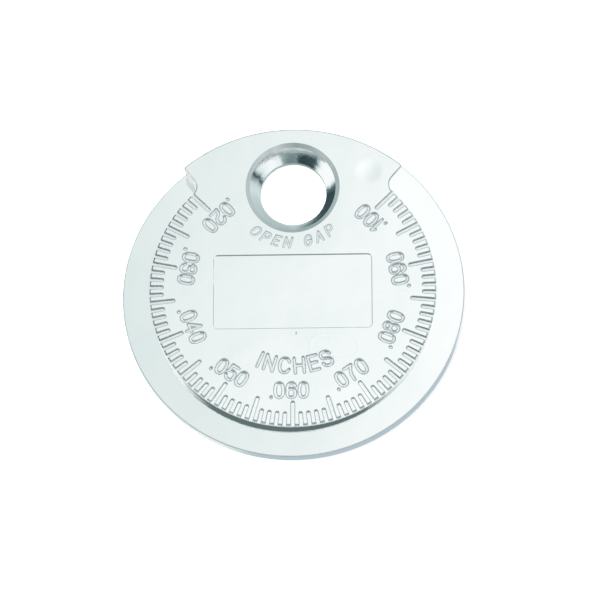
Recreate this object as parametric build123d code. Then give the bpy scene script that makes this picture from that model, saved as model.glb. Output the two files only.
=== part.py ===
from build123d import *
from math import asin, ceil, degrees, floor
import os

# Spark plug gap gauge, coin type: one plated zinc die casting, in millimetres.
# The origin is on the dial's axis at the back face. +Z is the dial's side, and +Y points to the hole.
# Angles are counter-clockwise from +X, as seen from the dial's side.

# Body of the casting
INCH = 25.4
OUTER_RADIUS = 20.5
RAMP_WIDTH = 3.35  # from the dial's wall out to the rim
FACE_STEP = 0.56  # dial face above the ramp's highest reading
FACE_BEVEL = 0.2  # edge of the dial face
BACK_BEVEL = 0.12  # edge of the back face

# Ramp, whose thickness is the measuring standard
RAMP_LOW = 0.020 * INCH
RAMP_HIGH = 0.100 * INCH
SCALE_GAP = 45.0  # degrees from +Y to the first mark, and to the last
RAMP_ROOT = 0.2  # slope that fills the corner between the ramp and the dial's wall
RAMP_BEVEL = 0.12  # edge of the ramp at the rim

# Lobe, where the casting keeps its full thickness out to the rim
LOBE_ROOT = 1.4  # corner between the lobe's end and the dial's wall
LOBE_TIP = 0.35  # corner between the lobe's end and the rim
LOBE_MARGIN = 0.1  # along the dial's edge, from the root corner to the end mark

# Marks of the inch scale, which run out through the dial's wall
TICK_STEP = 0.001 * INCH
TICKS_PER_LONG = 5
TICK_WIDTH = 0.42
TICK_DEPTH = 0.3
TICK_SHORT = 1.65
TICK_LONG = 3.0
MARK_CORNER = 0.1  # cut corners of every mark, on both faces

# Marks of the metric scale on the back face
METRIC_STEP = 0.05
METRIC_PER_LONG = 2
METRIC_WIDTH = 0.3
METRIC_DEPTH = 0.18
METRIC_SHORT = 1.0
METRIC_LONG = 1.7
METRIC_TO_RIM = 1.1

# Recessed panel in the middle of the dial
PANEL_WIDTH = 18.84
PANEL_HEIGHT = 9.2
PANEL_DROP = 0.38  # panel's centre below the dial's axis
PANEL_CORNER = 0.45
PANEL_DEPTH = 0.14

# Countersunk hole, whose thin lip at the back bends a plug's side electrode
HOLE_RADIUS = 4.02
HOLE_LIP = 0.6  # height of the straight wall at the back
MOUTH_RADIUS = 5.34
MOUTH_BEVEL = 0.34
MOUTH_TO_RIM = 2.16

# Worked out from the sizes above
DIAL_RADIUS = OUTER_RADIUS - RAMP_WIDTH
THICKNESS = RAMP_HIGH + FACE_STEP
SCALE_START = 90 + SCALE_GAP
RISE_PER_TURN = (RAMP_HIGH - RAMP_LOW) * 360 / (360 - 2 * SCALE_GAP)
LOBE_ROOT_ANGLE = degrees(asin(LOBE_ROOT / (DIAL_RADIUS + LOBE_ROOT)))
LOBE_HALF_ANGLE = SCALE_GAP - LOBE_ROOT_ANGLE - degrees(LOBE_MARGIN / DIAL_RADIUS)
HOLE_CENTRE = OUTER_RADIUS - MOUTH_TO_RIM - MOUTH_RADIUS
OVERSHOOT = 1.0  # how far a cut or a joined piece passes the surface that it meets


def ramp_thickness(angle):
    """Thickness of the ramp at an angle."""
    return RAMP_LOW + (angle - SCALE_START) / 360 * RISE_PER_TURN


def ramp_angle(thickness):
    """Angle at which the ramp has a thickness."""
    return SCALE_START + (thickness - RAMP_LOW) / RISE_PER_TURN * 360


def from_axis(point):
    """Distance of a point from the dial's axis."""
    return Vector(point.X, point.Y).length


def blank():
    """Plain disc that bounds the casting, with the edge of its back bevelled."""
    disc = extrude(Circle(OUTER_RADIUS), THICKNESS)
    return chamfer(disc.edges().sort_by(Axis.Z)[0], BACK_BEVEL)


def dial():
    """Dial and lobe at their full thickness, with the edge of the face bevelled."""
    rim = CenterArc((0, 0), OUTER_RADIUS, 90 - LOBE_HALF_ANGLE, 2 * LOBE_HALF_ANGLE)
    lobe = make_face([rim, Line((0, 0), rim @ 0), Line((0, 0), rim @ 1)])
    outline = Circle(DIAL_RADIUS) + lobe
    outline = fillet(outline.vertices().group_by(from_axis)[0], LOBE_ROOT)
    outline = fillet(outline.vertices().group_by(from_axis)[-1], LOBE_TIP)
    body = extrude(outline, THICKNESS)
    return chamfer(body.faces().sort_by(Axis.Z)[-1].edges(), FACE_BEVEL)


def ramp():
    """Section of the ramp swept up a helix, from inside one end of the lobe to inside the other."""
    reach = OUTER_RADIUS + OVERSHOOT
    core = DIAL_RADIUS - OVERSHOOT
    section = Polyline(
        (core, RAMP_ROOT + OVERSHOOT),
        (DIAL_RADIUS + RAMP_ROOT, 0),
        (OUTER_RADIUS - RAMP_BEVEL, 0),
        (reach, -RAMP_BEVEL - OVERSHOOT),
        (reach, -THICKNESS),
        (core, -THICKNESS),
        close=True,
    )
    run_in = LOBE_HALF_ANGLE / 2
    turn = 360 - 2 * run_in
    path = Helix(RISE_PER_TURN, turn / 360 * RISE_PER_TURN, DIAL_RADIUS)
    ring = sweep(Plane.XZ * make_face(section), path=path, is_frenet=True)
    return Pos(0, 0, ramp_thickness(90 + run_in)) * Rot(0, 0, 90 + run_in) * ring


def hole():
    """Cutting tool for the countersunk hole."""
    slope = (MOUTH_RADIUS - HOLE_RADIUS) / (THICKNESS - HOLE_LIP)
    top = THICKNESS + OVERSHOOT
    section = Polyline(
        (0, -OVERSHOOT),
        (HOLE_RADIUS, -OVERSHOOT),
        (HOLE_RADIUS, HOLE_LIP),
        (MOUTH_RADIUS + slope * OVERSHOOT, top),
        (0, top),
        close=True,
    )
    return Pos(0, HOLE_CENTRE) * revolve(Plane.XZ * make_face(section), Axis.Z)


def panel():
    """Cutting tool for the recessed panel."""
    outline = Pos(0, -PANEL_DROP) * RectangleRounded(PANEL_WIDTH, PANEL_HEIGHT, PANEL_CORNER)
    return Pos(0, 0, THICKNESS - PANEL_DEPTH) * extrude(outline, PANEL_DEPTH + OVERSHOOT)


def mark(outer_end, length, width):
    """Outline of one mark along +X, with its corners cut."""
    bar = Pos(outer_end - length / 2, 0) * Rectangle(length, width)
    return chamfer(bar.vertices(), MARK_CORNER)


def inch_marks():
    """Cutting tools for the marks from .020 to .100, a thousandth apart."""
    outer_end = DIAL_RADIUS + OVERSHOOT
    short, long = [mark(outer_end, OVERSHOOT + length, TICK_WIDTH) for length in (TICK_SHORT, TICK_LONG)]
    outlines = Sketch()
    for step in range(round((RAMP_HIGH - RAMP_LOW) / TICK_STEP) + 1):
        angle = ramp_angle(RAMP_LOW + step * TICK_STEP)
        outlines += Rot(0, 0, angle) * (short if step % TICKS_PER_LONG else long)
    return Pos(0, 0, THICKNESS - TICK_DEPTH) * extrude(outlines, TICK_DEPTH + OVERSHOOT)


def metric_marks():
    """Cutting tools for the millimetre marks on the back, which read the same ramp."""
    outer_end = OUTER_RADIUS - METRIC_TO_RIM
    short, long = [mark(outer_end, length, METRIC_WIDTH) for length in (METRIC_SHORT, METRIC_LONG)]
    outlines = Sketch()
    for step in range(ceil(RAMP_LOW / METRIC_STEP), floor(RAMP_HIGH / METRIC_STEP) + 1):
        angle = ramp_angle(step * METRIC_STEP)
        outlines += Rot(0, 0, angle) * (short if step % METRIC_PER_LONG else long)
    return Pos(0, 0, -OVERSHOOT) * extrude(outlines, METRIC_DEPTH + OVERSHOOT)


def gauge_disc():
    """The whole casting."""
    body = (dial() + ramp()) & blank()
    body -= hole()
    mouth = body.faces().sort_by(Axis.Z)[-1].inner_wires()[0]
    body = chamfer(mouth.edges(), MOUTH_BEVEL)
    return body - panel() - inch_marks() - metric_marks()


os.makedirs("parts", exist_ok=True)
export_step(gauge_disc(), "parts/gauge_disc.step")
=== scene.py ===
import bpy
from math import atan2, cos, radians, sin
from mathutils import Matrix, Vector


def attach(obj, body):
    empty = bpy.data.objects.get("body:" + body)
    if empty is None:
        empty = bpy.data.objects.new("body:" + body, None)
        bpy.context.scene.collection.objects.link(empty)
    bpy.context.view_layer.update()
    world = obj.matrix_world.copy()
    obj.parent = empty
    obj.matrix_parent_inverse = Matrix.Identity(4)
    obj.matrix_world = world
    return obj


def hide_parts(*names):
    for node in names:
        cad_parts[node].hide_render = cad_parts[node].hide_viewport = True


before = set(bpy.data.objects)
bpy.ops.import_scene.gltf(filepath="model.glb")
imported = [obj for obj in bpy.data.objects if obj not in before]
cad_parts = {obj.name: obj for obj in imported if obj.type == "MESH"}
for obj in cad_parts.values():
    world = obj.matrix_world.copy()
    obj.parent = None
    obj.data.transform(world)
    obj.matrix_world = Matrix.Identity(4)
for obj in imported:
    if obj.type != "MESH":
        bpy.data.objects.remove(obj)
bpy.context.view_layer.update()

mm = 0.001
print("frame loaded:", sorted(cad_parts))


# Camera, at the photograph's angle

shot = {
    "azimuth": 5.44,  # degrees round from straight below the dial
    "elevation": 70.66,
    "roll": -5.85,
    "distance": 400.0,  # mm
    "aim": (0.875, -1.519, 3.1),  # mm
    "lens": 201.4,
}


def makeCamera():
    azimuth, elevation, roll = (radians(shot[key]) for key in ("azimuth", "elevation", "roll"))
    back = Vector((sin(azimuth) * cos(elevation), -cos(azimuth) * cos(elevation), sin(elevation)))
    right = Vector((cos(azimuth), sin(azimuth), 0))
    up = back.cross(right)
    turned = Matrix((right * cos(roll) + up * sin(roll), up * cos(roll) - right * sin(roll), back)).transposed()
    bpy.ops.object.camera_add()
    camera = bpy.context.object
    camera.name = "camera"
    camera.matrix_world = Matrix.Translation((Vector(shot["aim"]) + back * shot["distance"]) * mm) @ turned.to_4x4()
    camera.data.sensor_width = 36
    camera.data.lens = shot["lens"]
    camera.data.clip_start, camera.data.clip_end = 0.01, 10
    bpy.context.scene.camera = camera


makeCamera()
print("camera made")


# Small helpers for modelling

def deselect():
    for thing in bpy.context.selected_objects:
        thing.select_set(False)


def only(thing):
    deselect()
    thing.select_set(True)
    bpy.context.view_layer.objects.active = thing


def applyModifier(thing, kind, name, **settings):
    modifier = thing.modifiers.new(name, kind)
    for key, value in settings.items():
        setattr(modifier, key, value)
    only(thing)
    bpy.ops.object.modifier_apply(modifier=modifier.name)


# Engraver's alphabet. A cell is 6 high, and each stroke is the line that the cutter follows.
# A stroke that starts with "loop" closes on itself.

loop = "loop"
oval = [loop, (0, 1.5), (0, 4.5), (0.8, 6), (2.7, 6), (3.5, 4.5), (3.5, 1.5), (2.7, 0), (0.8, 0)]
alphabet = {
    "0": (3.5, [oval]),
    "1": (0.6, [[(0.6, 0), (0.6, 6)], [(0.5, 5.95), (-0.4, 5.0)]]),
    "2": (3.5, [[(-0.1, 4.6), (0.7, 6), (3.55, 6), (3.5, 3.3), (0.2, 1.7), (0, 0)], [(0.1, 0), (3.5, 0)]]),
    "3": (3.4, [[(-0.1, 4.65), (0.7, 6), (3.4, 6), (3.4, 3.3), (0.8, 3.3)],
                [(1.1, 3.2), (3.55, 3.2), (3.55, 0), (0.7, 0), (-0.1, 1.35)]]),
    "4": (3.6, [[(2.6, 0), (2.6, 6)], [(2.5, 5.9), (0, 1.7)], [(0.1, 1.7), (3.6, 1.7)]]),
    "5": (3.4, [[(3.2, 6), (0.4, 6)], [(0.4, 5.9), (0.2, 3.3)],
                [(-0.1, 3.1), (0.95, 3.75), (3.55, 3.75), (3.55, 0), (0.7, 0), (-0.1, 1.35)]]),
    "6": (3.5, [[loop, (0, 0.9), (0, 2.7), (0.8, 3.6), (2.7, 3.6), (3.5, 2.7), (3.5, 0.9), (2.7, 0), (0.8, 0)],
                [(0, 1.9), (0, 4.7), (1.0, 6), (2.6, 6), (3.5, 4.8)]]),
    "7": (3.4, [[(0, 6), (3.4, 6)], [(3.3, 5.9), (1.3, 3.2), (1.2, 0)]]),
    "8": (3.4, [[loop, (0.2, 4.1), (0.2, 5.2), (1.1, 6), (2.3, 6), (3.2, 5.2), (3.2, 4.1), (2.3, 3.3), (1.1, 3.3)],
                [loop, (0, 1.0), (0, 2.3), (1.0, 3.3), (2.4, 3.3), (3.4, 2.3), (3.4, 1.0), (2.4, 0), (1.0, 0)]]),
    "9": (3.5, [[loop, (0, 3.3), (0, 5.1), (0.8, 6), (2.7, 6), (3.5, 5.1), (3.5, 3.3), (2.7, 2.4), (0.8, 2.4)],
                [(3.5, 4.1), (3.5, 1.3), (2.5, 0), (0.9, 0), (0, 1.2)]]),
    ".": (0.0, [[(0, 0), (0, 0.15)]]),
    "A": (4.0, [[(0, 0), (2, 6)], [(2.1, 5.9), (4, 0)], [(0.8, 1.9), (3.2, 1.9)]]),
    "C": (3.6, [[(3.75, 1.4), (2.9, 0), (1.0, 0), (0, 1.4), (0, 4.6), (1.0, 6), (2.9, 6), (3.75, 4.6)]]),
    "E": (3.3, [[(0, 0), (0, 6)], [(0.1, 6), (3.3, 6)], [(0.1, 3.1), (2.9, 3.1)], [(0.1, 0), (3.3, 0)]]),
    "G": (3.7, [[(3.7, 4.6), (2.85, 6), (1.0, 6), (0, 4.6), (0, 1.4), (1.0, 0), (2.7, 0), (3.7, 1.3), (3.7, 2.8)],
                [(3.6, 2.8), (2.1, 2.8)]]),
    "H": (3.6, [[(0, 0), (0, 6)], [(3.6, 0), (3.6, 6)], [(0.1, 3), (3.5, 3)]]),
    "I": (0.0, [[(0, 0), (0, 6)]]),
    "N": (3.6, [[(0, 0), (0, 6)], [(0.1, 5.9), (3.5, 0.1)], [(3.6, 0), (3.6, 6)]]),
    "O": (4.0, [[loop, (0, 1.5), (0, 4.5), (1, 6), (3, 6), (4, 4.5), (4, 1.5), (3, 0), (1, 0)]]),
    "P": (3.5, [[(0, 0), (0, 6)], [(-0.1, 6), (0.6, 6), (3.6, 6), (3.6, 2.8), (0.6, 2.8), (0.1, 2.8)]]),
    "S": (3.6, [[(3.7, 4.6), (2.9, 6), (0.05, 6), (0.05, 3.55), (1.8, 3.05), (3.55, 2.55), (3.55, 0), (0.7, 0),
                 (-0.1, 1.4)]]),
    "m": (4.6, [[(0, 0), (0, 3.9)], [(0, 2.3), (0.3, 3.9), (2.2, 4.1), (2.3, 2.2), (2.3, 0)],
                [(2.3, 2.3), (2.6, 3.9), (4.5, 4.1), (4.6, 2.2), (4.6, 0)]]),
    " ": (2.4, []),
}


def makeCutterTip(name, width, depth, draft, flare):
    # Section of the engraver's cutter: flat floor, leaning walls, and a flare that breaks the edge at the surface
    above = 0.012
    half = width / 2
    side = [(half - draft, -depth), (half, -flare), (half + flare + above, above)]
    outline = side + [(-x, y) for x, y in reversed(side)]
    curve = bpy.data.curves.new(name, "CURVE")
    spline = curve.splines.new("POLY")
    spline.points.add(len(outline) - 1)
    for point, (x, y) in zip(spline.points, outline):
        point.co = (x, y, 0, 1)
    spline.use_cyclic_u = True
    tip = bpy.data.objects.new(name, curve)
    bpy.context.scene.collection.objects.link(tip)
    return tip


strokesPerLetter = 4  # at most


def startCutters(name, tip, reach):
    # Neighbouring letters and the strokes of one letter go to different cutters, so no cutter meets itself
    cutters = []
    for _ in range(2 * strokesPerLetter):
        curve = bpy.data.curves.new(name, "CURVE")
        curve.dimensions = "3D"
        curve.twist_mode = "Z_UP"
        curve.bevel_mode = "OBJECT"
        curve.bevel_object = tip
        curve.use_fill_caps = True
        curve.resolution_u = 5
        cutter = bpy.data.objects.new(name, curve)
        cutter["reach"] = reach
        bpy.context.scene.collection.objects.link(cutter)
        cutters.append(cutter)
    return cutters


# At a stroke's end: how far out the cutter is, in its own half widths, and how much of it is left there
roundedEnd = ((0.0, 1.0), (0.55, 0.84), (0.88, 0.5), (0.95, 0.25))


def addStroke(cutter, line, closed=False):
    # A stroke's ends are rounded by shrinking the cutter over its own half width
    points = [(Vector(point), 1.0) for point in line]
    if not closed:
        reach = cutter["reach"]
        for end, inner in ((0, 1), (-1, -2)):
            tipPoint = points[end][0]
            outward = (tipPoint - points[inner][0]).normalized() * reach
            rounded = [(tipPoint + outward * along, size) for along, size in roundedEnd]
            points = rounded[::-1] + points[1:] if end == 0 else points[:-1] + rounded
    spline = cutter.data.splines.new("NURBS")
    spline.points.add(len(points) - 1)
    for point, (place, size) in zip(spline.points, points):
        point.co = (place.x, place.y, place.z, 1)
        point.radius = size
    spline.order_u = 3
    spline.use_cyclic_u = closed
    spline.use_endpoint_u = not closed


def addText(cutters, text, place, size, gap, lean=0.0):
    # place turns the text's own plane, in mm and centred on the text, into the disc's frame
    unit = size / 6
    widths = [alphabet[letter][0] * unit for letter in text]
    cursor = -(sum(widths) + gap * (len(text) - 1)) / 2
    for index, (letter, width) in enumerate(zip(text, widths)):
        for cutter, stroke in zip(cutters[index % 2 * strokesPerLetter:], alphabet[letter][1]):
            closed = stroke[0] == loop
            corners = stroke[1:] if closed else stroke
            line = [(cursor + (x + y * lean) * unit, (y - 3) * unit, 0) for x, y in corners]
            addStroke(cutter, [place @ Vector(point) for point in line], closed)
        cursor += width + gap


def atDial(angle, radius, height):
    # Frame on the dial at an angle from +X, with its Y towards the dial's axis
    spot = Matrix.Translation((cos(radians(angle)) * radius, sin(radians(angle)) * radius, height))
    return spot @ Matrix.Rotation(radians(angle + 90), 4, "Z")


def cutFrom(piece, cutters, surface):
    shallower = 0.008  # share of the depth by which each pass is shallower, so that two floors never share a plane
    for number, cutter in enumerate(cutters):
        if not cutter.data.splines:
            bpy.data.objects.remove(cutter)
            continue
        only(cutter)
        bpy.ops.object.convert(target="MESH")
        bpy.ops.object.mode_set(mode="EDIT")
        bpy.ops.mesh.select_all(action="SELECT")
        bpy.ops.mesh.remove_doubles(threshold=1e-5)
        bpy.ops.mesh.normals_make_consistent(inside=False)
        bpy.ops.transform.resize(value=(1, 1, 1 - shallower * number), center_override=(0, 0, surface))
        bpy.ops.object.mode_set(mode="OBJECT")
        applyModifier(piece, "BOOLEAN", "engraving", operation="DIFFERENCE", object=cutter, solver="MANIFOLD")
        bpy.data.objects.remove(cutter)


# Gauge disc, the casting's visible skin

disc = {
    # Sizes of the casting, in mm
    "faceHeight": 3.1,
    "dialRadius": 17.15,
    "holeY": 13.0,
    "thinnest": 0.508,  # the ramp at the first mark
    "thickest": 2.54,  # and at the last
    "scaleStart": 135,  # degrees from +X to the first mark
    "scaleTurn": 270,  # degrees from it to the last
    "shortMark": 1.65,
    "longMark": 3.0,
    "panelSize": (18.84, 9.2),
    "panelDrop": 0.38,
    # Small changes to its shape
    "mouthLonger": 0.26,  # the countersink's mouth, towards the dial's middle
    "cornerSlope": 0.2,  # height of the slope between the ramp and the dial's wall
    "cornerDrop": 0.19,
    "edgeInset": 0.2,  # from an edge to the line that the cutter follows inside it
    "edgeDepth": 0.12,
    "edgeFlare": 0.105,
    "panelBend": 0.5,  # of the cutter's line at the panel's corners
    "cutPastWall": 0.5,
    # Numbers and words on the dial
    "numberSize": 1.78,  # height of the digits' centre line
    "numberWidth": 0.92,  # of the plain cell
    "numberRadius": 12.76,
    "numberGap": 0.52,
    "pointWidth": 0.3,
    "word": "INCHES",
    "wordAngles": (-23.5, -16.2, -5.9, 4.6, 14.6, 24.2),  # degrees from the bottom of the dial
    "wordSize": 1.8,
    "wordRadius": 9.72,
    "strokeWidth": 0.29,
    "strokeDepth": 0.2,
    "strokeDraft": 0.05,
    "smallWords": "OPEN GAP",
    "smallWordAngles": (-38.5, -27.5, -16.5, -5.5, 4.5, 14.0, 25.5, 37.0),  # degrees from the bottom of the hole
    "smallWordSize": 1.2,
    "smallWordRadius": 7.2,
    "smallWordLean": 0.2,
    "smallStrokeWidth": 0.22,
    "smallStrokeDepth": 0.12,
    "smallEdgeFlare": 0.065,
    "smallDraft": 0.03,
    # Numbers and unit on the back
    "backNumberSize": 1.25,
    "backNumberRadius": 15.6,
    "backNumberGap": 0.38,
    "unitSize": 1.9,
    "unitGap": 0.6,
    "unitDrop": 6.5,
    "backStrokeWidth": 0.24,
    "backStrokeDepth": 0.12,
    "backEdgeFlare": 0.03,
}
thousandth = 0.0254  # of an inch, in mm

# Where the kinds of edges and faces of the disc lie, in mm: heights, and distances from its axis or the hole's
zones = {
    "face": 2.7,  # lowest height of what belongs to the dial's face
    "mouth": (5.1, 5.75),  # from the hole's axis
    "holeLip": 4.05,
    "holeEdges": 5.98,
    "holeFaces": 6.0,
    "markFloors": (2.75, 2.97),
    "markEnds": 17.1,
    "insideDial": 17.16,
    "dialEdge": (16.93, 17.2),
    "dialEdgeFrom": 2.85,
    "dialWall": (16.98, 17.5),
    "dialBevel": 3.0,
    "dialBevelHalf": 0.03,
    "rimEdges": 20.2,
    "rimFaces": 20.3,
    "backEdges": 0.1,
    "back": 0.2,
}
hair = 0.001  # less than any step in the casting, in mm
# How a face leans, as the upright part of its normal
leaning = {"wall": 0.3, "bevel": (0.55, 0.85), "mouthBevel": 0.7, "flat": 0.97}


def within(value, pair):
    return pair[0] < value < pair[1]


def markAngle(thickness):
    # Angle on the dial at which the ramp has a thickness in mm
    share = (thickness - disc["thinnest"]) / (disc["thickest"] - disc["thinnest"])
    return disc["scaleStart"] + share * disc["scaleTurn"]


def copyCasting():
    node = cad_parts["gauge_disc"]
    deselect()
    piece = node.copy()
    piece.data = node.data.copy()
    piece.name = piece.data.name = "plated_disc"
    bpy.context.scene.collection.objects.link(piece)
    piece.hide_render = piece.hide_viewport = False
    only(piece)
    bpy.ops.mesh.customdata_custom_splitnormals_clear()
    bpy.ops.object.mode_set(mode="EDIT")
    bpy.ops.mesh.select_all(action="SELECT")
    bpy.ops.mesh.remove_doubles(threshold=1e-7)
    bpy.ops.transform.resize(value=(1 / mm,) * 3, center_override=(0, 0, 0))
    bpy.ops.object.mode_set(mode="OBJECT")
    return piece


def openMouth(piece):
    # The countersink's mouth is a little longer towards the dial's middle
    for point in piece.data.vertices:
        across, along = point.co.x, point.co.y - disc["holeY"]
        reach = (across * across + along * along) ** 0.5
        if point.co.z > zones["face"] and within(reach, zones["mouth"]) and along < 0:
            point.co.y -= disc["mouthLonger"] * (along / reach) ** 2


def closeCorner(piece):
    # The ramp runs almost flat up to the dial's wall
    middle = (disc["thinnest"] + disc["thickest"]) / 2
    rise = (disc["thickest"] - disc["thinnest"]) / radians(disc["scaleTurn"])
    near = 0.02
    for point in piece.data.vertices:
        thickness = middle + atan2(point.co.x, -point.co.y) * rise
        onWall = abs(point.co.xy.length - disc["dialRadius"]) < near
        if onWall and abs(point.co.z - thickness - disc["cornerSlope"]) < near:
            point.co.z -= disc["cornerDrop"]


def engraveFront(piece):
    height = disc["faceHeight"]
    tip = makeCutterTip("letterTip", disc["strokeWidth"], disc["strokeDepth"], disc["strokeDraft"], disc["edgeFlare"])
    cutters = startCutters("letterCutter", tip, disc["strokeWidth"] / 2 + disc["edgeFlare"])
    squeeze = Matrix.Diagonal((disc["numberWidth"], 1, 1, 1))
    # The digits are centred on their mark, with the point to the left of them
    shift = Matrix.Translation((-(disc["pointWidth"] + disc["numberGap"]) / 2, 0, 0))
    for tens in range(2, 11):
        place = atDial(markAngle(tens * 10 * thousandth), disc["numberRadius"], height)
        addText(cutters, ".%03d" % (tens * 10), place @ shift @ squeeze, disc["numberSize"], disc["numberGap"])
    for index, (letter, angle) in enumerate(zip(disc["word"], disc["wordAngles"])):
        place = atDial(270 + angle, disc["wordRadius"], height)
        addText(cutters[index % 2 * strokesPerLetter:], letter, place, disc["wordSize"], 0)
    cutFrom(piece, cutters, height)

    smallTip = makeCutterTip("smallTip", disc["smallStrokeWidth"], disc["smallStrokeDepth"],
                             disc["smallDraft"], disc["smallEdgeFlare"])
    cutters = startCutters("smallLetterCutter", smallTip, disc["smallStrokeWidth"] / 2 + disc["smallEdgeFlare"])
    hole = Matrix.Translation((0, disc["holeY"], 0))
    for index, (letter, angle) in enumerate(zip(disc["smallWords"], disc["smallWordAngles"])):
        place = hole @ atDial(270 + angle, disc["smallWordRadius"], height)
        addText(cutters[index % 2 * strokesPerLetter:], letter, place, disc["smallWordSize"], 0, disc["smallWordLean"])
    cutFrom(piece, cutters, height)
    for extra in (tip, smallTip):
        bpy.data.objects.remove(extra)


def breakEdges(piece):
    # The plated casting has no sharp edge round its marks and its panel: a shallow cut along each gives it a flare
    height, inset, flare = disc["faceHeight"], disc["edgeInset"], disc["edgeFlare"]
    tip = makeCutterTip("edgeTip", 2 * inset, disc["edgeDepth"], disc["smallDraft"], flare)
    cutters = startCutters("edgeCutter", tip, inset + flare)
    for thousandths in range(20, 101):
        inner = disc["dialRadius"] - (disc["shortMark"] if thousandths % 5 else disc["longMark"]) + inset
        place = Matrix.Rotation(radians(markAngle(thousandths * thousandth)), 4, "Z")
        line = [place @ Vector((radius, 0, height)) for radius in (inner, disc["dialRadius"] + disc["cutPastWall"])]
        addStroke(cutters[0], line)
    right, top = (size / 2 - inset for size in disc["panelSize"])
    bend = disc["panelBend"]
    quarter = [(right - bend, top), (right, top), (right, top - bend)]
    corners = quarter + [(x, -y) for x, y in reversed(quarter)]
    corners += [(-x, y) for x, y in reversed(corners)]
    addStroke(cutters[1], [Vector((x, y - disc["panelDrop"], height)) for x, y in corners], True)
    cutFrom(piece, cutters, height)
    bpy.data.objects.remove(tip)


def engraveBack(piece):
    tip = makeCutterTip("backTip", disc["backStrokeWidth"], disc["backStrokeDepth"], disc["smallDraft"],
                        disc["backEdgeFlare"])
    cutters = startCutters("backCutter", tip, disc["backStrokeWidth"] / 2 + disc["backEdgeFlare"])
    turned = Matrix.Rotation(radians(180), 4, "Y")  # the back's own right and left
    for tenths in range(6, 26, 2):
        place = turned @ atDial(180 - markAngle(tenths / 10), disc["backNumberRadius"], 0)
        addText(cutters, "%.1f" % (tenths / 10), place, disc["backNumberSize"], disc["backNumberGap"])
    addText(cutters, "mm", turned @ Matrix.Translation((0, -disc["unitDrop"], 0)), disc["unitSize"], disc["unitGap"])
    cutFrom(piece, cutters, 0)
    bpy.data.objects.remove(tip)


def softenEdges(piece):
    # Narrow bevels take their shading from the faces beside them, so each edge looks rounded and flat faces stay flat
    only(piece)
    bpy.ops.object.shade_smooth_by_angle(angle=radians(52))
    # By how much the two ends differ where an edge runs round the hole, or round the dial, and in height
    roundHole, roundDial, climb = 0.08, 0.012, 0.05
    points = piece.data.vertices
    hole = Vector((0, disc["holeY"]))
    for edge in piece.data.edges:
        ends = [points[number].co for number in edge.vertices]
        low, high = sorted(end.z for end in ends)
        near, far = sorted(end.xy.length for end in ends)
        holeNear, holeFar = sorted((end.xy - hole).length for end in ends)
        # The rings of the countersunk hole stay crisp, and the floors of the marks run into their walls
        if high - low < hair and low > zones["backEdges"]:
            if holeFar < zones["holeEdges"] and holeFar - holeNear < roundHole:
                edge.use_edge_sharp = True
            elif within(low, zones["markFloors"]) and far < zones["markEnds"]:
                edge.use_edge_sharp = False
        # The bevels round the rim and round the dial stay crisp too
        onRim = near > zones["rimEdges"]
        onDialEdge = low > zones["dialEdgeFrom"] and within(near, zones["dialEdge"])
        if far - near < roundDial and high - low < climb and (onRim or onDialEdge):
            edge.use_edge_sharp = True
    for strength, chosen in (("STRONG", False), ("WEAK", True)):
        for face in piece.data.polygons:
            face.select = within(abs(face.normal.z), leaning["bevel"]) == chosen
        bpy.ops.object.mode_set(mode="EDIT")
        bpy.ops.mesh.select_mode(type="FACE")
        bpy.ops.mesh.mod_weighted_strength(set=True, face_strength=strength)
        bpy.ops.object.mode_set(mode="OBJECT")
    applyModifier(piece, "WEIGHTED_NORMAL", "faceWeights", weight=80, keep_sharp=True, use_face_influence=True)


# How much painted shade and how much dullness the plate gets on each kind of face. Where there are four numbers,
# it goes from the first to the second while Y rises from the third by the fourth.
shadedAndDulled = {
    "rimEdge": 1.4,
    "mouthBevel": (0.6, 0.9, disc["holeY"], 4),
    "holeLip": 1.4,
    "dialWall": 0.2,  # the material knows the wall by this number
    "panelEdge": 0.4,
    "markFloor": (0.25, 0.55, -12, 9),
    "markWall": 1.0,
    "backFloor": 0.6,
    "backWall": 1.0,
}


def markShadeAndDull(piece):
    # Painted shade and dullness of each face, for the material: recesses, bevels, the hole's lip and the dial's wall
    # are darkened in colour as if shaded, and made duller. The faces are told apart by where they are and how they
    # lean, in mm.
    shadeAndDull = piece.data.attributes.new("shadeAndDull", "FLOAT", "FACE")
    margin = 0.1
    panelRight, panelTop = (size / 2 + margin for size in disc["panelSize"])

    def upwards(height, first, last, start, rise):
        return first + (last - first) * min(1.0, max(0.0, (height - start) / rise))

    for face in piece.data.polygons:
        x, y, z = face.center
        slope = abs(face.normal.z)
        flat = slope > leaning["flat"]
        radius = (x * x + y * y) ** 0.5
        fromHole = (x * x + (y - disc["holeY"]) ** 2) ** 0.5
        onWall = within(radius, zones["dialWall"])
        onBevel = abs(z - zones["dialBevel"]) < zones["dialBevelHalf"]
        value = 0.0
        if radius > zones["rimFaces"]:
            if within(slope, (leaning["wall"], leaning["flat"])):
                value = shadedAndDulled["rimEdge"]
        elif fromHole < zones["holeFaces"]:
            if within(face.normal.z, (leaning["mouthBevel"], leaning["flat"])):
                value = upwards(y, *shadedAndDulled["mouthBevel"])
            elif fromHole < zones["holeLip"]:
                value = shadedAndDulled["holeLip"]
        elif onWall and (slope < leaning["wall"] or onBevel):
            value = shadedAndDulled["dialWall"]
        elif within(z, (zones["face"], disc["faceHeight"] - hair)) and radius < zones["insideDial"]:
            if abs(x) < panelRight and abs(y + disc["panelDrop"]) < panelTop:
                value = 0.0 if flat else shadedAndDulled["panelEdge"]
            elif flat:
                value = upwards(y, *shadedAndDulled["markFloor"])
            else:
                value = shadedAndDulled["markWall"]
        elif within(z, (hair, zones["back"])):
            value = shadedAndDulled["backFloor"] if flat else shadedAndDulled["backWall"]
        shadeAndDull.data[face.index].value = value


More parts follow.
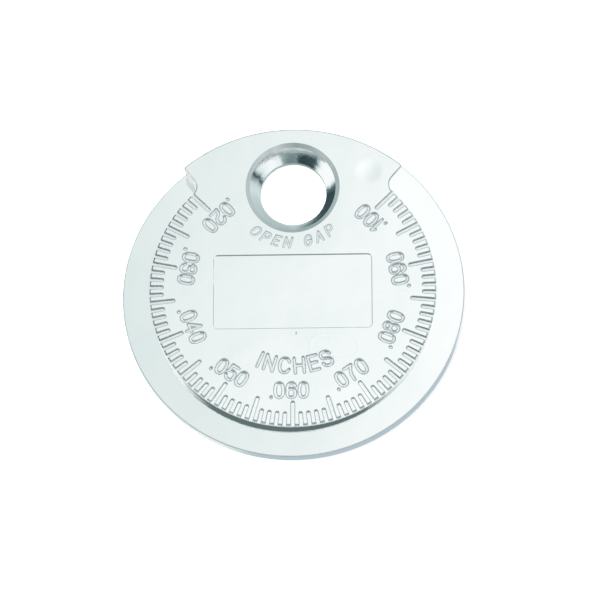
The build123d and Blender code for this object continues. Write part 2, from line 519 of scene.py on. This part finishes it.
plated = copyCasting()
print("casting copied:", len(plated.data.polygons), "faces")
openMouth(plated)
closeCorner(plated)
engraveFront(plated)
print("front engraved:", len(plated.data.polygons), "faces")
engraveBack(plated)
print("back engraved:", len(plated.data.polygons), "faces")
breakEdges(plated)
softenEdges(plated)
markShadeAndDull(plated)
plated.scale = (mm, mm, mm)  # the cuts were made at a thousand times the size, where they are clean
bpy.ops.object.transform_apply(location=False, rotation=False, scale=True)
print("edges softened:", len(plated.data.polygons), "faces")
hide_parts("gauge_disc")
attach(plated, "root")


# Small helpers for the nodes of the materials and the studio

def feed(tree, socket, value):
    if isinstance(value, bpy.types.NodeSocket):
        tree.links.new(value, socket)
    else:
        socket.default_value = value


def addStep(tree, value, low, high, first=0.0, last=1.0):
    # Goes smoothly from the first number to the last while the value goes from low to high
    step = tree.nodes.new("ShaderNodeMapRange")
    step.interpolation_type = "SMOOTHSTEP"
    for socket, number in zip(("From Min", "From Max", "To Min", "To Max"), (low, high, first, last)):
        step.inputs[socket].default_value = number
    tree.links.new(value, step.inputs["Value"])
    return step.outputs["Result"]


def addMix(tree, factor, first, second):
    node = tree.nodes.new("ShaderNodeMix")
    node.data_type = "RGBA"
    for socket, value in ((node.inputs["Factor"], factor), (node.inputs["A"], first), (node.inputs["B"], second)):
        feed(tree, socket, value)
    return node.outputs["Result"]


def makeMaterial(name):
    material = bpy.data.materials.new(name)
    material.use_nodes = True
    return material, material.node_tree, material.node_tree.nodes["Principled BSDF"]


# Bright plate over the casting

plate = {
    "colour": (0.87, 0.90, 0.895, 1),
    "cloudColour": (0.835, 0.875, 0.875, 1),  # where the plate is a little hazy
    "cloudSize": 0.009,  # metres
    "clouds": (0.42, 0.68),  # between these numbers the noise goes over into a cloud
    # Painted shade, darker and bluer, in the recesses, on the bevels and on the dial's wall: its colour, strength and
    # patches. Where it lies the plate is also rougher and less metallic.
    "paintedShadeColour": (0.33, 0.39, 0.41, 1),
    "shadeAndDull": 0.55,
    "shadeAndDullSize": 0.0011,
    "shadeAndDullPatches": (0.3, 0.7, 0.75, 1.0),  # the noise, and how much of the painted shade and dullness it leaves
    "wallMargins": (0.06, 0.02),  # a face isn't the wall beyond the first from its number, and is within the second
    "dullRoughness": 0.42,
    "dullShineLoss": 0.18,  # share of the metal's shine that it takes away
    "lightLineHeights": (0.00238, 0.00296),  # heights on the dial's wall between which the light line lies
    "lightLineBorders": (0.0001, 0.00004),  # at its foot and at its top
    "lightLineUnshaded": 0.9,  # share of the painted shade that is taken off there
    "lightLineRoughness": 0.5,
    "lightLineDull": 0.6,
    "roughness": (0.03, 0.09),
    "roughnessSize": 0.004,
    "roughnessPatches": (0.3, 0.75),
    "waveSize": 0.0045,  # metres from wave to wave of the cast surface
    "waveHeight": 0.000015,
    "grainSize": 0.0004,
    "grainHeight": 0.0000006,
    # Two sets of hairline scratches: size of the noise, its stretch along them, degrees from +Y, and its limits
    "hairlines": ((0.0005, 0.05, 24, (0.70, 0.76)), (0.0006, 0.04, -57, (0.71, 0.77))),
    "scratch": 0.0000008,  # their depth
    "scratchRoughness": 0.05,
    "holeSkin": 0.00001,  # height of the cast skin in the hole
    "holeSkinSize": 0.00024,
    "holeSkinTo": (0.0052, 0.0050),  # from the hole's axis
    "onFace": (0.0030, 0.00305),  # heights between which the marks on the dial's face begin
    "pinMark": (0.0092, 0.0149, 0.0016),  # x, y and radius of the ejector's shallow mark
    "pinBorder": 0.0002,
    "pinDepth": 0.00003,
    "pit": (0.0004, -0.0057),
    "pitRadii": (0.00019, 0.00004),  # of its mouth and its floor
    "pitDepth": 0.00004,
    "insert": (0.0049, -0.00736, 0.0014, 0.0015),  # x, y, half length of its straight sides, radius of its ends
    "insertLine": 0.00011,  # half the width of its outline
    "insertHeight": 0.000003,
}


def makePlate():
    material, tree, shader = makeMaterial("bright_plate")
    nodes, links = tree.nodes, tree.links
    place = nodes.new("ShaderNodeTexCoord").outputs["Object"]
    split = nodes.new("ShaderNodeSeparateXYZ")
    links.new(place, split.inputs[0])
    x, y, z = split.outputs

    def noise(size, detail, stretch=None, turn=0.0):
        texture = nodes.new("ShaderNodeTexNoise")
        texture.inputs["Scale"].default_value = 1 / size
        texture.inputs["Detail"].default_value = detail
        if stretch:
            mapping = nodes.new("ShaderNodeMapping")
            mapping.inputs["Scale"].default_value = stretch
            mapping.inputs["Rotation"].default_value = (0, 0, radians(turn))
            links.new(place, mapping.inputs["Vector"])
            links.new(mapping.outputs["Vector"], texture.inputs["Vector"])
        else:
            links.new(place, texture.inputs["Vector"])
        return texture.outputs["Fac"]

    def between(*values):
        return addStep(tree, *values)

    def blend(*values):
        return addMix(tree, *values)

    def work(operation, *values):
        node = nodes.new("ShaderNodeMath")
        node.operation = operation
        for socket, value in zip(node.inputs, values):
            feed(tree, socket, value)
        return node.outputs[0]

    # Hazy clouds and painted shade on the colour, and dullness on the roughness
    clouds = between(noise(plate["cloudSize"], 3), *plate["clouds"])
    shadeAndDullMark = nodes.new("ShaderNodeAttribute")
    shadeAndDullMark.attribute_name = "shadeAndDull"
    patchy = between(noise(plate["shadeAndDullSize"], 2), *plate["shadeAndDullPatches"])
    shadeAndDull = work("MULTIPLY", shadeAndDullMark.outputs["Fac"], patchy)
    # Under its edge, a band of the dial's wall is left nearly free of the painted shade and made rough and less
    # metallic, so that it shows as a light line
    mark = shadedAndDulled["dialWall"]
    wide, narrow = plate["wallMargins"]
    onWall = work("MULTIPLY", between(shadeAndDullMark.outputs["Fac"], mark - wide, mark - narrow),
                  between(shadeAndDullMark.outputs["Fac"], mark + wide, mark + narrow))
    low, high = plate["lightLineHeights"]
    foot, top = plate["lightLineBorders"]
    underEdge = work("MULTIPLY", between(z, low, low + foot), between(z, high, high - top))
    lightLine = work("MULTIPLY", underEdge, onWall)
    shadeAndDull = work("MULTIPLY", shadeAndDull, work("SUBTRACT", 1.0, work("MULTIPLY", lightLine, plate["lightLineUnshaded"])))
    colour = blend(clouds, plate["colour"], plate["cloudColour"])
    # Painted shade: the marked faces take a darker, bluer colour
    colour = blend(work("MULTIPLY", shadeAndDull, plate["shadeAndDull"]), colour, plate["paintedShadeColour"])
    links.new(colour, shader.inputs["Base Color"])
    thick = work("MULTIPLY", shadeAndDull, shadeAndDull)
    dull = work("ADD", work("MULTIPLY", thick, plate["dullShineLoss"]), work("MULTIPLY", lightLine, plate["lightLineDull"]))
    links.new(work("SUBTRACT", 1.0, dull), shader.inputs["Metallic"])
    hairlines = work("MAXIMUM", *(between(noise(size, 1, (along, 1, along), turn), *limits)
                                  for size, along, turn, limits in plate["hairlines"]))
    roughness = between(noise(plate["roughnessSize"], 3), *plate["roughnessPatches"], *plate["roughness"])
    for part, amount in ((thick, "dullRoughness"), (lightLine, "lightLineRoughness"), (hairlines, "scratchRoughness")):
        roughness = work("ADD", roughness, work("MULTIPLY", part, plate[amount]))
    links.new(roughness, shader.inputs["Roughness"])

    def distance(acrossX, acrossY):
        return work("SQRT", work("ADD", work("MULTIPLY", acrossX, acrossX), work("MULTIPLY", acrossY, acrossY)))

    # Shallow mark left by the ejector pin on the lobe
    pinX, pinY, pinRadius = plate["pinMark"]
    away = distance(work("SUBTRACT", x, pinX), work("SUBTRACT", y, pinY))
    dent = between(away, pinRadius + plate["pinBorder"], plate["pinBorder"], 0.0, plate["pinDepth"])
    # A pit, and the faint outline of an insert in the mould below the panel
    pitX, pitY = plate["pit"]
    away = distance(work("SUBTRACT", x, pitX), work("SUBTRACT", y, pitY))
    dent = work("ADD", dent, between(away, *plate["pitRadii"], 0.0, plate["pitDepth"]))
    insertX, insertY, halfLength, insertRadius = plate["insert"]
    beyond = work("MAXIMUM", work("SUBTRACT", work("ABSOLUTE", work("SUBTRACT", x, insertX)), halfLength), 0.0)
    fromLine = work("ABSOLUTE", work("SUBTRACT", distance(beyond, work("SUBTRACT", y, insertY)), insertRadius))
    dent = work("SUBTRACT", dent, between(fromLine, plate["insertLine"], 0.0, 0.0, plate["insertHeight"]))
    dent = work("MULTIPLY", dent, between(z, *plate["onFace"]))

    height = work("MULTIPLY", noise(plate["waveSize"], 2), plate["waveHeight"])
    height = work("ADD", height, work("MULTIPLY", noise(plate["grainSize"], 2), plate["grainHeight"]))
    height = work("SUBTRACT", height, work("MULTIPLY", hairlines, plate["scratch"]))
    height = work("SUBTRACT", height, dent)
    # The countersink is as cast under the plate, with a finer and rougher skin
    skin = work("MULTIPLY", noise(plate["holeSkinSize"], 3), plate["holeSkin"])
    inHole = between(distance(x, work("SUBTRACT", y, disc["holeY"] * mm)), *plate["holeSkinTo"])
    height = work("ADD", height, work("MULTIPLY", skin, inHole))
    bump = nodes.new("ShaderNodeBump")
    bump.inputs["Distance"].default_value = 1.0
    links.new(height, bump.inputs["Height"])
    links.new(bump.outputs["Normal"], shader.inputs["Normal"])
    return material


plated.data.materials.clear()
plated.data.materials.append(makePlate())
print("materials made")


# Studio: pale floor, a white tent, cards stood round the gauge, and soft lamps

def direction(azimuth, elevation):
    # Azimuth in degrees from +X, elevation above the horizon
    azimuth, elevation = radians(azimuth), radians(elevation)
    return (cos(azimuth) * cos(elevation), sin(azimuth) * cos(elevation), sin(elevation))


studio = {
    "floorColour": (0.86, 0.87, 0.87, 1),
    "greySide": (0.825, 0.90, 0.89, 1),  # the tent's far side from the big lamp
    "whiteSide": (1.13, 1.125, 1.125, 1),
    # Where the tent is white: direction, and the shares of it between which grey goes over into white
    "whiteBesideLamp": ((0.89, -0.45, 0), -0.27, -0.10),
    "whiteAtFarEnd": ((-0.944, 0.33, 0), 0.28, 0.32),
    "lensDark": (0.15, 0.195, 0.20, 1),  # the dark round the lens
    "lensAt": (-114, 70.66),  # degrees from +X, and above the horizon
    "lensSpread": (31, 19),  # degrees from its middle, where it starts and where it is full
    # Cards that stand round the gauge: degrees from +X, and how bright each is. These are at its level.
    "ring": [(-172, 0.12), (-158, 0.34), (-130, 0.42), (-110, 0.3), (-90, 0.25), (-70, 0.25), (-40, 0.34),
             (-20, 0.42), (4, 0.55), (20, 0.66), (45, 0.66), (75, 0.54), (95, 0.48), (114, 0.42), (140, 0.24),
             (152, 0.1), (165, 0.06), (176, 0.06)],
    # Cards above its level
    "upperRing": [(-172, 0.47), (-158, 0.46), (-130, 0.44), (-110, 0.38), (-90, 0.36), (-70, 0.36), (-40, 0.39),
                  (-20, 0.44), (4, 0.55), (20, 0.66), (45, 0.66), (75, 0.58), (95, 0.54), (114, 0.55), (140, 0.56),
                  (160, 0.51), (176, 0.48)],
    # Cards below its level, which only the hole sees
    "lowRing": [(-160, 1.08), (-153, 0.98), (-148, 0.72), (-143, 0.24), (-138, 0.08), (-112, 0.05), (-104, 0.08),
                (-97, 0.27), (-82, 0.25), (-72, 0.36), (-67, 0.5), (-63, 0.98), (-40, 1.08), (-22, 0.98),
                (-12, 0.84), (-7, 0.44), (-1, 0.05), (5, 0.42), (13, 0.74), (24, 0.82), (40, 0.70), (66, 0.60),
                (88, 0.56), (93, 0.62), (98, 0.50), (103, 0.34), (109, 0.16), (118, 0.08), (150, 0.06),
                (158, 0.18), (164, 0.8), (169, 1.08)],
    # How much red the grey of a dark card lacks
    "tint": 0.24,
    "upperTint": 0.18,
    "under": (0.90, 0.95, 0.96, 1),
    "underCard": (0.50, 0.60, 0.66, 1),
    "underCardAt": (direction(-40, 0), -0.12, 0.05),
    # Sines of the elevations between which one goes over into the next
    "underToLow": (-0.92, -0.78),
    "lowToRing": (-0.13, 0.0),
    "ringToUpper": (0.15, 0.25),
    "upperToTent": (0.60, 0.84),
    # Soft lamps: name, place and size in metres, and watts
    "lamps": (("topLamp", (-0.25, 0.15, 0.6), 0.5, 6.0), ("sideLamp", (0.5, -0.2, 0.5), 0.4, 3.0)),
}


def makeFloor():
    bpy.ops.mesh.primitive_plane_add(size=3, location=(0, 0, -0.00002))  # a hair below the gauge
    floor = bpy.context.object
    floor.name = "floor"
    floor.visible_glossy = False  # the metal sees the cards under it instead
    material, tree, shader = makeMaterial("paleFloor")
    shader.inputs["Base Color"].default_value = studio["floorColour"]
    shader.inputs["Roughness"].default_value = 0.9
    shader.inputs["Specular IOR Level"].default_value = 0.0
    floor.data.materials.append(material)


def makeWorld():
    world = bpy.data.worlds.new("studioTent")
    bpy.context.scene.world = world
    world.use_nodes = True
    tree = world.node_tree
    nodes, links = tree.nodes, tree.links
    nodes.clear()
    place = nodes.new("ShaderNodeTexCoord")
    split = nodes.new("ShaderNodeSeparateXYZ")
    links.new(place.outputs["Generated"], split.inputs[0])
    upward = split.outputs["Z"]
    # Angle round the gauge, from 0 at -180 degrees to 1 at 180
    turn = nodes.new("ShaderNodeMath")
    turn.operation = "ARCTAN2"
    links.new(split.outputs["Y"], turn.inputs[0])
    links.new(split.outputs["X"], turn.inputs[1])
    part = nodes.new("ShaderNodeMapRange")
    part.inputs["From Min"].default_value = radians(-180)
    part.inputs["From Max"].default_value = radians(180)
    links.new(turn.outputs[0], part.inputs["Value"])

    def along(axis):
        dot = nodes.new("ShaderNodeVectorMath")
        dot.operation = "DOT_PRODUCT"
        dot.inputs[1].default_value = axis
        links.new(place.outputs["Generated"], dot.inputs[0])
        return dot.outputs["Value"]

    def partOf(where, low, high):
        return addStep(tree, along(where), low, high)

    def standCards(cards, tint):
        # The darker a card, the more blue and green its grey
        ramp = nodes.new("ShaderNodeValToRGB")
        links.new(part.outputs["Result"], ramp.inputs["Fac"])
        stops = ramp.color_ramp.elements
        while len(stops) > 1:
            stops.remove(stops[-1])
        for number, (angle, bright) in enumerate(cards):
            stop = stops[0] if number == 0 else stops.new((angle + 180) / 360)
            stop.position = (angle + 180) / 360
            shade = max(0.0, 1 - bright)
            red = bright * (1 - tint * shade ** 0.5 - 0.15 * shade ** 4)
            stop.color = (red, bright + 0.01 * shade, bright + 0.02 * shade, 1)
        return ramp.outputs["Color"]

    # Tent, bright on the side of the big lamp and again at the far end
    tent = addMix(tree, partOf(*studio["whiteBesideLamp"]), studio["greySide"], studio["whiteSide"])
    tent = addMix(tree, partOf(*studio["whiteAtFarEnd"]), tent, studio["whiteSide"])
    # From below: the floor's side, the three rings of cards, and the tent above them
    seen = addMix(tree, partOf(*studio["underCardAt"]), studio["under"], studio["underCard"])
    for border, above in (("underToLow", standCards(studio["lowRing"], studio["tint"])),
                          ("lowToRing", standCards(studio["ring"], studio["tint"])),
                          ("ringToUpper", standCards(studio["upperRing"], studio["upperTint"])),
                          ("upperToTent", tent)):
        seen = addMix(tree, addStep(tree, upward, *studio[border]), seen, above)
    lens = partOf(direction(*studio["lensAt"]), *(cos(radians(angle)) for angle in studio["lensSpread"]))
    seen = addMix(tree, lens, seen, studio["lensDark"])

    reflected = nodes.new("ShaderNodeBackground")
    links.new(seen, reflected.inputs["Color"])
    plain = nodes.new("ShaderNodeBackground")
    plain.inputs["Color"].default_value = (1, 1, 1, 1)
    path = nodes.new("ShaderNodeLightPath")
    choose = nodes.new("ShaderNodeMixShader")
    links.new(path.outputs["Is Glossy Ray"], choose.inputs["Fac"])
    links.new(plain.outputs[0], choose.inputs[1])
    links.new(reflected.outputs[0], choose.inputs[2])
    out = nodes.new("ShaderNodeOutputWorld")
    links.new(choose.outputs[0], out.inputs["Surface"])


def makeLamps():
    for name, spot, size, power in studio["lamps"]:
        bpy.ops.object.light_add(type="AREA", location=spot)
        lamp = bpy.context.object
        lamp.name = name
        lamp.data.size = size
        lamp.data.energy = power
        lamp.rotation_euler = (-Vector(spot)).to_track_quat("-Z", "Y").to_euler()
        lamp.visible_glossy = False


makeFloor()
makeWorld()
makeLamps()
bpy.context.scene.view_settings.view_transform = "Standard"
print("studio made")
